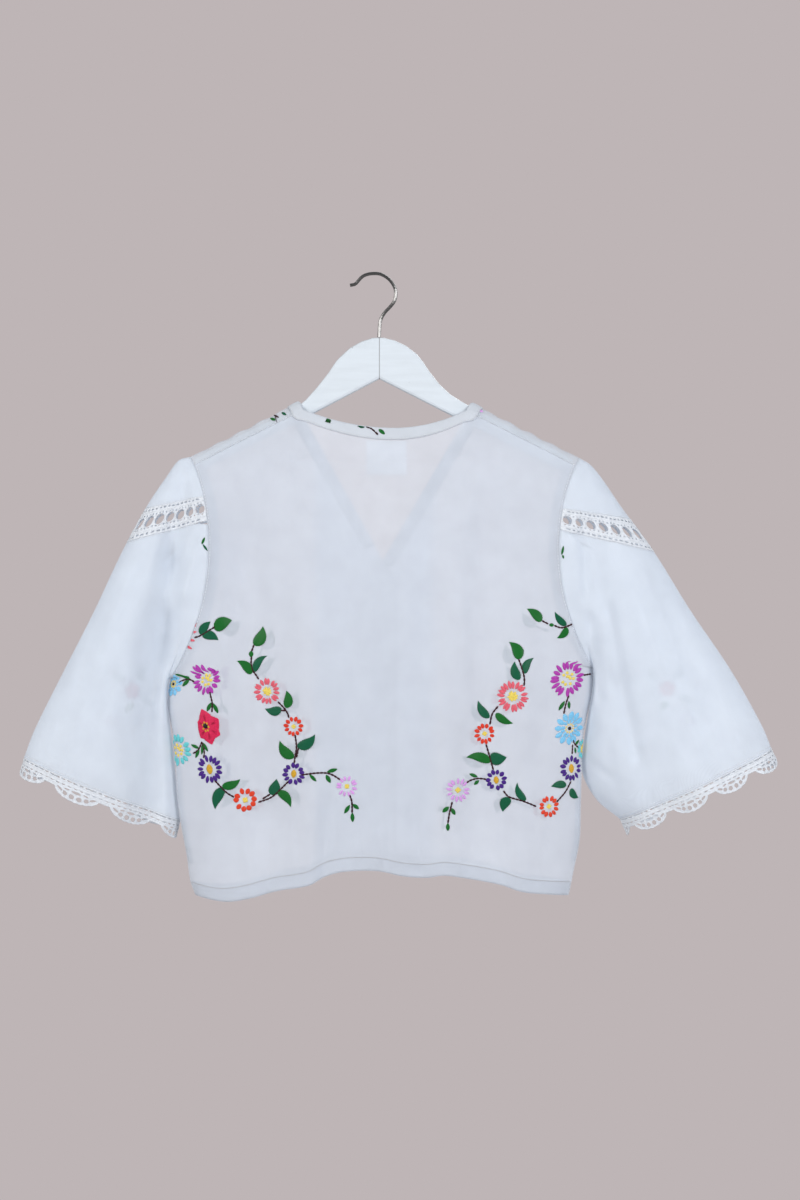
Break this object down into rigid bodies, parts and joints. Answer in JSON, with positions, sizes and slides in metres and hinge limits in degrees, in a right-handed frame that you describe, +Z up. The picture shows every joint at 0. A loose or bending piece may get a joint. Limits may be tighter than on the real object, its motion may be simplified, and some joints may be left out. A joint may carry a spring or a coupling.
{
  "type": "cropped blouse on a hanger",
  "caption": "Cropped cotton blouse with wide lace-trimmed elbow sleeves and flower embroidery, hanging on a painted wooden hanger, back to the viewer.",
  "frame": {"origin": "inside of the hook's crown, where the rail carries the hanger", "axes": "+Z up, +X to the wearer's right sleeve and along the hanger, +Y to the wearer's front, so that the pictured back faces -Y"},
  "size_m": [0.7965, 0.1053, 0.6589],
  "materials": {
    "white_cotton": "plain-woven white cotton, slightly see-through",
    "white_crochet_lace": "crocheted white cotton thread",
    "white_label_tape": "blank woven tape",
    "white_button_plastic": "soft shine",
    "white_painted_wood": "white paint, a little worn",
    "hook_chrome": "polished wire"
  },
  "bodies": {
    "root": {"back_panel": "white_cotton", "front_left": "white_cotton", "front_right": "white_cotton", "neck_binding": "white_cotton", "sleeve_cap_left": "white_cotton", "sleeve_cap_right": "white_cotton", "sleeve_left": "white_cotton", "sleeve_right": "white_cotton", "lace_insert_left": "white_crochet_lace", "lace_insert_right": "white_crochet_lace", "cuff_lace_left_back": "white_crochet_lace", "cuff_lace_left_front": "white_crochet_lace", "cuff_lace_right_back": "white_crochet_lace", "cuff_lace_right_front": "white_crochet_lace", "label": "white_label_tape", "button_1": "white_button_plastic", "button_2": "white_button_plastic", "button_3": "white_button_plastic", "button_4": "white_button_plastic", "button_5": "white_button_plastic", "hanger_bar": "white_painted_wood", "hanger_hook": "hook_chrome"}
  },
  "joints": []
}
